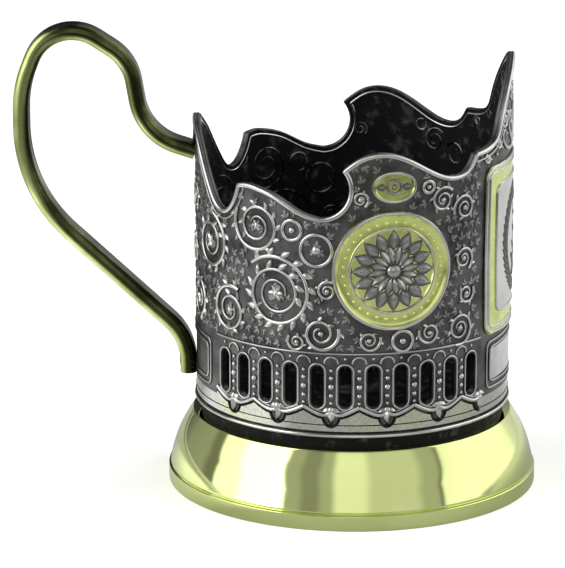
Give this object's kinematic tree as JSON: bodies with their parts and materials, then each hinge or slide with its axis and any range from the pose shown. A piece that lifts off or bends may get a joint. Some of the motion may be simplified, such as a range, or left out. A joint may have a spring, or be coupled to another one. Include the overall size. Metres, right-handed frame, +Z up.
{
  "type": "tea glass holder",
  "caption": "Metal tea glass holder: a pierced, ornamented band with a waved rim and applied medallions on a polished bell foot, with a looped strip handle.",
  "frame": {"origin": "middle of the foot's underside, on the band's axis", "axes": "+Z up along the band's axis, handle towards -X, plaque towards +X, the side shown in the picture faces -Y"},
  "size_m": [0.1174, 0.0832, 0.1044],
  "materials": {
    "blackened_nickel": "nickel plate, blackened in the hollows and bright on the raised lines",
    "dark_inside": "nickel plate, blackened all over",
    "polished_brass": "pale polished brass",
    "gilded_brass": "gilded, darker in the hollows",
    "steel": "plain zinc-plated steel"
  },
  "bodies": {
    "root": {"pierced_band": "blackened_nickel", "floor_plate": "dark_inside", "neck_ring": "dark_inside", "foot": "polished_brass", "clamp_screw": "steel", "clamp_washer": "steel", "clamp_nut": "steel", "handle": "polished_brass", "handle_rivet": "polished_brass", "medallion_front": "gilded_brass", "medallion_back": "gilded_brass", "small_medallion_front": "gilded_brass", "small_medallion_back": "gilded_brass", "plaque": "gilded_brass"}
  },
  "joints": []
}
